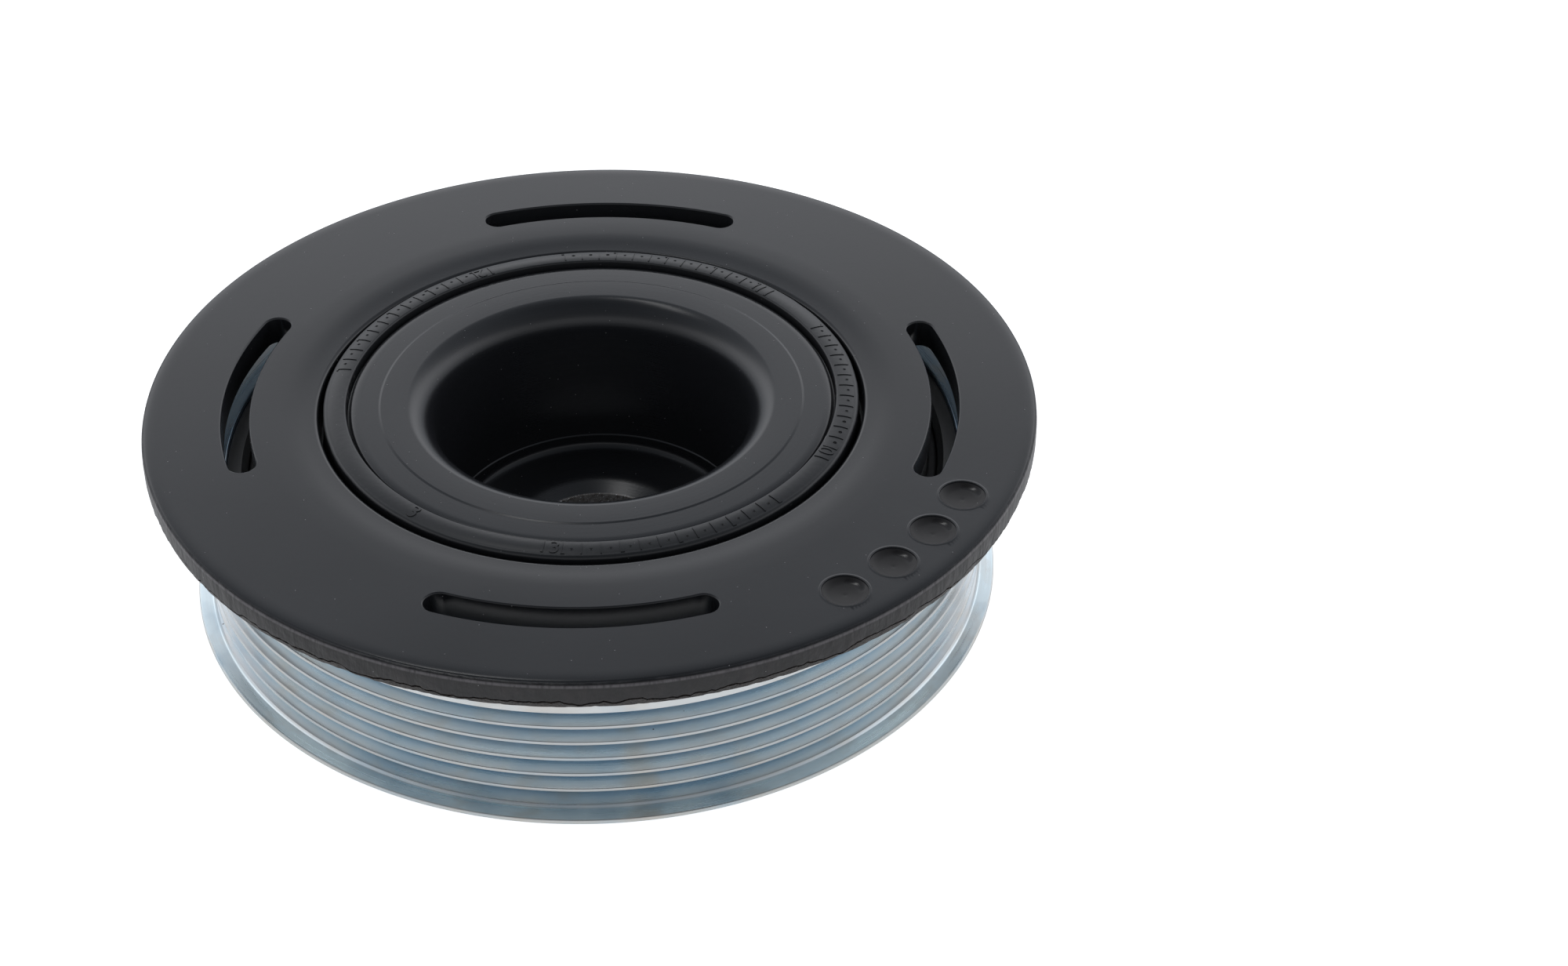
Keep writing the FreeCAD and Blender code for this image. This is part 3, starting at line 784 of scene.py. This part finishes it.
def makeDialMarks():
    k = dial
    line = bar(k["lineInner"], k["lineOuter"], k["lineWidth"])
    ticked = bar(k["lineInner"], k["lineOuter"], k["lineWidth"])
    corner = bar(k["lineOuter"] - k["lineWidth"], k["lineOuter"] + 0.02, k["cornerLength"])
    # the corner stops just short of flush, so that no two faces lie in one plane
    pick(corner)
    bpy.ops.transform.translate(value=(0, (k["cornerLength"] - k["lineWidth"]) * 0.49 * mm, 0.01 * mm))
    bpy.ops.object.transform_apply(location=True, rotation=False, scale=False)
    combine(ticked, corner, "UNION")
    marks = []
    for start, words in k["numbers"].items():
        marks.append(makeNumber(words, start))
        for index in range(k["lines"]):
            angle = start + k["firstLine"] + index * k["spacing"]
            marks.append(copyPiece(line if index % 3 else ticked, angle))
    marks.append(makeNumber(k["lone"][1], k["lone"][0]))
    for spare in (line, ticked):
        discard(spare)
    marks = joinPieces(marks)
    sheetTop = crownPoints(k["proud"])
    sheetLow = plateTop - k["trimDepth"]
    sheetFoot = [(sheetTop[-1][0], sheetLow), (sheetTop[0][0], sheetLow)]
    trim = lathe("crown_trim", [*sheetTop, *sheetFoot], 360)
    combine(trim, marks, "INTERSECT")
    return trim


def makeDimples():
    k = dial
    deselect()
    radius = k["dimpleRadius"]
    bpy.ops.mesh.primitive_uv_sphere_add(segments=12, ring_count=8, radius=radius * mm)
    ball = bpy.context.object
    dimples = []
    for start in k["numbers"]:
        for index in range(k["lines"] - 1):
            deep = index in k["deepDimples"].get(start, ())
            height = crownHeight(k["dimpleSpot"]) + (0.0 if deep else k["shallowLift"])
            place = (k["dimpleSpot"] * mm, 0, height * mm)
            angle = start + k["firstLine"] + (index + 0.5) * k["spacing"]
            dimples.append(copyPiece(ball, angle, place))
    discard(ball)
    return joinPieces(dimples)


plate = {
    "segments": 720,
    "collarBore": 50.4,
    "collarRadius": 56.0,
    "collarBottom": 24.0,
    "back": 39.5,
    # the rough lip, the crack over it and the burnished band, as radius and height
    "tear": [(82.1, 39.5), (82.2, 39.9), (82.28, 40.32), (81.6, 40.56), (82.46, 40.78)],
    "tearEnd": 41.3,
    "tearJump": 0.22,
    "tearHeight": 0.75,
    "tearSwing": 0.42,
    "lipBite": 0.25,
    "backLift": 0.12,
    "edgeRoll": [(82.5, 1.8), (82.47, 1.2), (82.42, 0.8), (82.33, 0.55), (82.2, 0.35), (82.0, 0.22),
                 (81.7, 0.12), (81.2, 0.05), (80.5, 0.015), (79.5, 0.0)],
    "dish": [(61.0, 0.0), (59.0, 0.025), (57.0, 0.07), (56.0, 0.113), (55.0, 0.183), (54.2, 0.26),
             (53.5, 0.34), (52.4, 0.46), (51.4, 0.54)],
    "bend": 1.0,
    "dishEven": 0.85,
    "dishLean": 0.3,
    "slotInner": 63.0,
    "slotOuter": 68.1,
    "slotSpan": 40.0,
    "slotLip": 0.35,
    "slotSegments": 40,
    "slotCuts": 30,
    "drillPitch": 74.07,
    "drillAngles": (-51.3, -42.33, -33.36, -24.39),
    "drillRadius": 4.1,
    "drillDepth": 0.9,
    "drillBowl": 0.16,
    "drillFlat": 2.3,
    "drillRound": 2.9,
    "drillLip": 0.16,
    "drillPoint": 0.05,
    "drillMark": 0.3,
    "drillMarkDepth": 0.06,
    "drillSegments": 64,
    "burr": 0.05,
    "burrWidth": 0.6,
}


def lip(radius, size, top):
    # the rounded edge that a cutter leaves at the top of a hole
    points = []
    for angle in (180, 160, 140, 120, 104):
        swing = math.radians(angle)
        points.append((radius + size + size * math.cos(swing), top - size + size * math.sin(swing)))
    return [*points, (radius + size * 1.3, top + 0.12), (radius + size * 1.3, top + 1)]


def makeSlotCutter():
    k = plate
    half = (k["slotOuter"] - k["slotInner"]) / 2
    middle = (k["slotOuter"] + k["slotInner"]) / 2
    stations = [(half, k["back"] - 1), *lip(half, k["slotLip"], plateTop)]
    cutter = peg("slot_cutter", stations, k["slotSegments"], turn=math.pi / k["slotSegments"])
    reach = middle * math.radians(k["slotSpan"] / 2)
    bpy.ops.object.mode_set(mode="EDIT")
    bpy.ops.mesh.select_mode(type="VERT")
    for side in (1, -1):
        bpy.ops.mesh.select_all(action="DESELECT")
        bpy.ops.object.mode_set(mode="OBJECT")
        for vertex in cutter.data.vertices:
            vertex.select = vertex.co.x * side > 0
        bpy.ops.object.mode_set(mode="EDIT")
        bpy.ops.transform.translate(value=(side * reach * mm, 0, 0))
    bpy.ops.mesh.select_all(action="DESELECT")
    bpy.ops.mesh.select_mode(type="EDGE")
    bpy.ops.object.mode_set(mode="OBJECT")
    for edge in cutter.data.edges:
        first, second = (cutter.data.vertices[index].co.x for index in edge.vertices)
        edge.select = first * second < 0
    bpy.ops.object.mode_set(mode="EDIT")
    bpy.ops.mesh.subdivide(number_cuts=k["slotCuts"])
    bpy.ops.object.mode_set(mode="OBJECT")
    bpy.ops.object.modifier_add(type="SIMPLE_DEFORM")
    bend = cutter.modifiers[-1]
    bend.deform_method = "BEND"
    bend.deform_axis = "Z"
    bend.angle = cutter.dimensions.x / (middle * mm)
    bpy.ops.object.modifier_apply(modifier=bend.name)
    cutter.location = (0, -middle * mm, 0)
    bpy.ops.object.transform_apply(location=True, rotation=False, scale=False)
    return cutter


def makeDrillCutter():
    # a shallow bowl with a small centre mark, which turns up into a short straight wall
    k = plate
    foot = plateTop - k["drillDepth"]
    flat, turn = k["drillFlat"], k["drillRound"]
    bowlFoot = foot - k["drillBowl"]
    stations = [(k["drillPoint"], bowlFoot - k["drillMarkDepth"]), (k["drillMark"], bowlFoot)]
    for share in (0.4, 0.7):
        stations.append((flat * share, foot - k["drillBowl"] * (1 - share * share)))
    steepest = math.degrees(math.asin((k["drillRadius"] - 0.02 - flat) / turn))
    stations += arcPoints(flat, foot + turn, turn, -86, steepest - 90, 10)
    stations += lip(k["drillRadius"], k["drillLip"], plateTop + k["burr"])
    return peg("drill_cutter", stations, k["drillSegments"])


def makeBurr():
    # the low collar that the drill raised round its hole
    k = plate
    outer = k["drillRadius"] + k["burrWidth"]
    inner = k["drillRadius"] - 1
    stations = [(outer, -0.4), (outer, -0.03), (outer - 0.15, k["burr"] * 0.6), (outer - 0.3, k["burr"]),
                (inner, k["burr"])]
    return peg("drill_burr", [(radius, plateTop + rise) for radius, rise in stations], k["drillSegments"])


def tearEdge(pressed):
    # the lower part of the blanked edge broke away along a jagged crack
    k = plate
    for vertex in pressed.data.vertices:
        radius, height = vertex.co.xy.length / mm, vertex.co.z / mm
        if radius < plateRadius - 1.2 or height > k["tearEnd"] - 0.1:
            continue
        side = Vector((vertex.co.x, vertex.co.y, 0)).normalized()
        jag = noise.noise(side * 16) + 0.6 * noise.noise(side * 55)
        jump = round(jag * k["tearHeight"] / k["tearJump"]) * k["tearJump"] + 0.1 * noise.noise(side * 200)
        jump = max(-k["tearSwing"], min(k["tearSwing"], jump))
        ragged = noise.noise(vertex.co / mm * 0.5 + up * 9) + 0.6 * noise.noise(vertex.co / mm * 1.1)
        if height > k["back"] + 0.1:
            vertex.co.z += jump * min(1.0, (height - k["back"]) / 0.8) * mm
        else:
            vertex.co.z += max(0.0, noise.noise(side * 10 + up * 40)) * k["backLift"] * mm
        if radius < plateRadius - 0.02:
            vertex.co.xy *= 1 + min(0.0, ragged * k["lipBite"]) / radius


def easeDish(pressed):
    # the sink towards the collar is deeper on one side than on the other
    k = plate
    lowest = plateTop - k["dish"][-1][1] - k["bend"] - 0.1
    for vertex in pressed.data.vertices:
        radius, height = vertex.co.xy.length / mm, vertex.co.z / mm
        if radius < k["dish"][0][0] + 0.1 and height > lowest:
            share = k["dishEven"] + k["dishLean"] * vertex.co.y / vertex.co.xy.length
            vertex.co.z = (plateTop - (plateTop - height) * share) * mm


def makePlate():
    k = plate
    dishFoot, dishDrop = k["dish"][-1]
    section = soften([
        (k["collarBore"], k["collarBottom"], 0.4),
        (k["collarRadius"], k["collarBottom"], 0.4),
        (k["collarRadius"], k["back"], 0.5),
        *k["tear"],
        (plateRadius, k["tearEnd"]),
        *[(radius, plateTop - drop) for radius, drop in k["edgeRoll"]],
        *[(radius, plateTop - drop) for radius, drop in k["dish"]],
        *arcPoints(dishFoot, plateTop - dishDrop - k["bend"], k["bend"], 80, 180, 8),
    ], steps=8)
    pressed = lathe("cover_plate_pressed", section, k["segments"])
    tearEdge(pressed)
    easeDish(pressed)
    slot = makeSlotCutter()
    cutters = [copyPiece(slot, 90 * index) for index in range(4)]
    discard(slot)
    drill, burr = makeDrillCutter(), makeBurr()
    burrs = [copyPiece(burr, angle, (k["drillPitch"] * mm, 0, 0)) for angle in k["drillAngles"]]
    cutters += [copyPiece(drill, angle, (k["drillPitch"] * mm, 0, 0)) for angle in k["drillAngles"]]
    for spare in (drill, burr):
        discard(spare)
    combine(pressed, joinPieces(burrs), "UNION")
    combine(pressed, joinPieces(cutters), "DIFFERENCE")
    return pressed


pulley = {
    "segments": 360,
    "rimBore": 68.3,
    "webTop": 11.5,
    "collarBore": 52.0,
    "collarRadius": 55.5,
    "collarTop": 19.0,
    "ribTip": 73.0,
    "ribPitch": 3.56,
    "ribTipFlat": 0.6,
    "frontLand": 4.15,
    "grooves": 6,
    "grooveDepth": 2.9,
    "grooveFlank": math.tan(math.radians(20)),
    "tipRound": 0.12,
    "rootRound": 0.35,
    "shoulder": 73.45,
    "shoulderTop": 8.9,
    "flangeTop": 8.5,
}


def makePulley():
    k = pulley
    half = (k["ribPitch"] - k["ribTipFlat"]) / 2
    rootHalf = half - k["grooveDepth"] * k["grooveFlank"]
    root = k["ribTip"] - k["grooveDepth"]
    corners = [
        (k["collarBore"], pulleyBottom, 0.4),
        (flangeRadius, pulleyBottom, 0.35),
        (flangeRadius, k["flangeTop"], 0.25),
        (k["shoulder"], k["shoulderTop"], 0.4),
    ]
    topGroove = pulleyTop - k["frontLand"] - half
    for index in reversed(range(k["grooves"])):
        middle = topGroove - index * k["ribPitch"]
        corners += [
            (k["ribTip"], middle - half, k["tipRound"]),
            (root, middle - rootHalf, k["rootRound"]),
            (root, middle + rootHalf, k["rootRound"]),
            (k["ribTip"], middle + half, k["tipRound"]),
        ]
    corners += [
        (k["ribTip"], pulleyTop, 0.25),
        (k["rimBore"], pulleyTop, 0.3),
        (k["rimBore"], k["webTop"], 0.8),
        (k["collarRadius"], k["webTop"], 1.2),
        (k["collarRadius"], k["collarTop"], 0.5),
        (k["collarBore"], k["collarTop"], 0.5),
    ]
    return lathe("belt_pulley_turned", soften(corners, steps=3), k["segments"])


inertiaRing = {"bottom": 13.5, "neckFoot": 32.0, "neck": 62.6, "face": 64.4, "bore": 56.0, "top": 39.5}


def makeInertiaRing():
    k = inertiaRing
    return lathe("inertia_ring_cast", soften([
        (k["bore"], k["bottom"], 0.6),
        (k["face"], k["bottom"], 0.6),
        (k["face"], k["neckFoot"], 0.6),
        (k["neck"], k["neckFoot"], 0.5),
        (k["neck"], k["top"]),
        (k["bore"], k["top"]),
    ]))


bush = {"bottom": 13.5, "top": 33.5, "bore": 64.5, "outer": 68.3, "chamfer": 1.1}


def makeBush():
    k = bush
    return lathe("bearing_bush_moulded", soften([
        (k["bore"], k["bottom"]),
        (k["outer"], k["bottom"]),
        (k["outer"], k["top"], 0.25),
        (k["bore"] + k["chamfer"], k["top"], 0.15),
        (k["bore"], k["top"] - k["chamfer"], 0.15),
    ]))


thrust = {"bottom": 11.5, "top": 13.5, "bore": 58.0, "outer": 68.2}


def makeThrust():
    k = thrust
    return lathe("thrust_ring_moulded", soften([
        (k["bore"], k["bottom"], 0.2),
        (k["outer"], k["bottom"], 0.2),
        (k["outer"], k["top"], 0.2),
        (k["bore"], k["top"], 0.2),
    ]))


coupling = {"sleeve": 40.0, "collar": 52.0, "bottom": 7.5, "top": 19.0, "hollow": 2.56, "hollowRound": 9.0}


def makeCoupling():
    k = coupling
    middle = (k["sleeve"] + k["collar"]) / 2
    return lathe("coupling_rubber_moulded", soften([
        (k["sleeve"], k["bottom"]),
        (middle, k["bottom"] + k["hollow"], k["hollowRound"]),
        (k["collar"], k["bottom"]),
        (k["collar"], k["top"]),
        (middle, k["top"] - k["hollow"], k["hollowRound"]),
        (k["sleeve"], k["top"]),
    ]))


sleeve = {"bore": 37.0, "outer": 40.0, "bottom": 7.5, "top": 19.0}


def makeSleeve():
    k = sleeve
    return lathe("coupling_sleeve_turned", soften([
        (k["bore"], k["bottom"], 0.4),
        (k["outer"], k["bottom"], 0.3),
        (k["outer"], k["top"], 0.3),
        (k["bore"], k["top"], 0.4),
    ]))


# studio

studio = {
    "floorSize": 6.0,
    "floorColor": 0.85,
    "floorGlow": 0.85,
    "floorMirrored": 0.6,
    "mirroredFrom": (45 * mm, 75 * mm),
    "skyTop": 1.4,
    "frontShade": 0.45,
    "frontFade": (-0.6, 0.3),
    "brightTint": (0.97, 0.99, 1.04),
    "darkTint": (0.88, 0.98, 1.12),
    "sky": [(0, 0.4), (6, 0.55), (12, 0.9), (20, 1.45), (29, 1.5), (33, 1.0), (38, 0.66), (44, 0.5),
            (62, 0.36), (76, 0.22), (90, 0.18)],
    "softbox": {
        "place": (-0.22, 0.27, 0.88),
        "aim": (0, 0, 0.04),
        "width": 0.28,
        "depth": 0.09,
        "power": 0.28,
    },
}


def makeFloor():
    deselect()
    bpy.ops.mesh.primitive_plane_add(size=studio["floorSize"])
    floor = bpy.context.object
    floor.name = "floor"
    material = bpy.data.materials.new("paleFloor")
    material.use_nodes = True
    tree = material.node_tree
    tree.nodes.clear()
    diffuse = addNode(tree, "BsdfDiffuse", {"Color": gray(studio["floorColor"])})
    glow = addNode(tree, "Emission", {"Color": gray(1.0), "Strength": studio["floorGlow"]})
    ray = addNode(tree, "LightPath")
    # close to the axis the floor isn't mirrored, so that the bolt hole stays dark
    radius = cylindrical(tree)[1]
    share = times(tree, spread(tree, radius, *studio["mirroredFrom"]), studio["floorMirrored"])
    mirrored = times(tree, ray.outputs["Is Glossy Ray"], share)
    seen = calculate(tree, "MAXIMUM", ray.outputs["Is Camera Ray"], mirrored)
    both = addNode(tree, "AddShader", {0: diffuse.outputs[0], 1: glow.outputs[0]})
    mix = addNode(tree, "MixShader", {0: seen, 1: diffuse.outputs[0], 2: both.outputs[0]})
    output = addNode(tree, "OutputMaterial")
    tree.links.new(mix.outputs[0], output.inputs["Surface"])
    floor.data.materials.append(material)


def makeWorld():
    # a bright band low behind the object that fades towards the ceiling and towards the camera
    world = bpy.data.worlds.new("studioWorld")
    bpy.context.scene.world = world
    world.use_nodes = True
    tree = world.node_tree
    tree.nodes.clear()
    place = addNode(tree, "TexCoord").outputs["Generated"]
    split = addNode(tree, "SeparateXYZ", {0: place})
    ramp = addNode(tree, "ValToRGB", {"Fac": split.outputs["Z"]})
    stops = ramp.color_ramp.elements
    for index, (elevation, level) in enumerate(studio["sky"]):
        if index == 0:
            stop = stops[0]
        elif elevation < 90:
            stop = stops.new(math.sin(math.radians(elevation)))
        else:
            stop = stops[len(stops) - 1]
        tint = Vector(studio["darkTint"]).lerp(Vector(studio["brightTint"]), min(1.0, level))
        stop.color = gray(level / studio["skyTop"], tint)
    around = spread(tree, split.outputs["Y"], *studio["frontFade"], studio["frontShade"], 1.0)
    strength = times(tree, around, studio["skyTop"])
    lit = addNode(tree, "Background", {"Color": ramp.outputs["Color"], "Strength": strength})
    white = addNode(tree, "Background", {"Color": gray(1.0), "Strength": 1.0})
    ray = addNode(tree, "LightPath")
    seen = ray.outputs["Is Camera Ray"]
    mix = addNode(tree, "MixShader", {0: seen, 1: lit.outputs[0], 2: white.outputs[0]})
    output = addNode(tree, "OutputWorld")
    tree.links.new(mix.outputs[0], output.inputs["Surface"])


def addSoftbox():
    k = studio["softbox"]
    bpy.ops.object.light_add(type="AREA", location=k["place"])
    lamp = bpy.context.object
    lamp.name = "topBox"
    lamp.data.shape = "RECTANGLE"
    lamp.data.size = k["width"]
    lamp.data.size_y = k["depth"]
    lamp.data.energy = k["power"]
    lamp.rotation_euler = (Vector(k["aim"]) - Vector(k["place"])).to_track_quat("-Z", "Y").to_euler()


placeCamera()
makeWorld()
makeFloor()
addSoftbox()
print("studio ready")

black = blackPaint()
rubber = mouldedRubber()
finishPiece(makeHub(), "hub", turnedBlack())
ring = makeRubberRing()
combine(ring, makeDimples(), "DIFFERENCE")
ring = joinPieces([ring, makeDialMarks()])
finishPiece(ring, "damper_rubber", rubber, weighted=True)
finishPiece(makePlate(), "cover_plate", black, weighted=True)
finishPiece(makePulley(), "belt_pulley", zincPlate())
finishPiece(makeInertiaRing(), "inertia_ring", blackCasting())
plastic = bushPlastic()
finishPiece(makeBush(), "bearing_bush", plastic)
finishPiece(makeThrust(), "thrust_ring", plastic)
finishPiece(makeCoupling(), "coupling_rubber", rubber)
finishPiece(makeSleeve(), "coupling_sleeve", turnedSteel())
print("pieces ready")
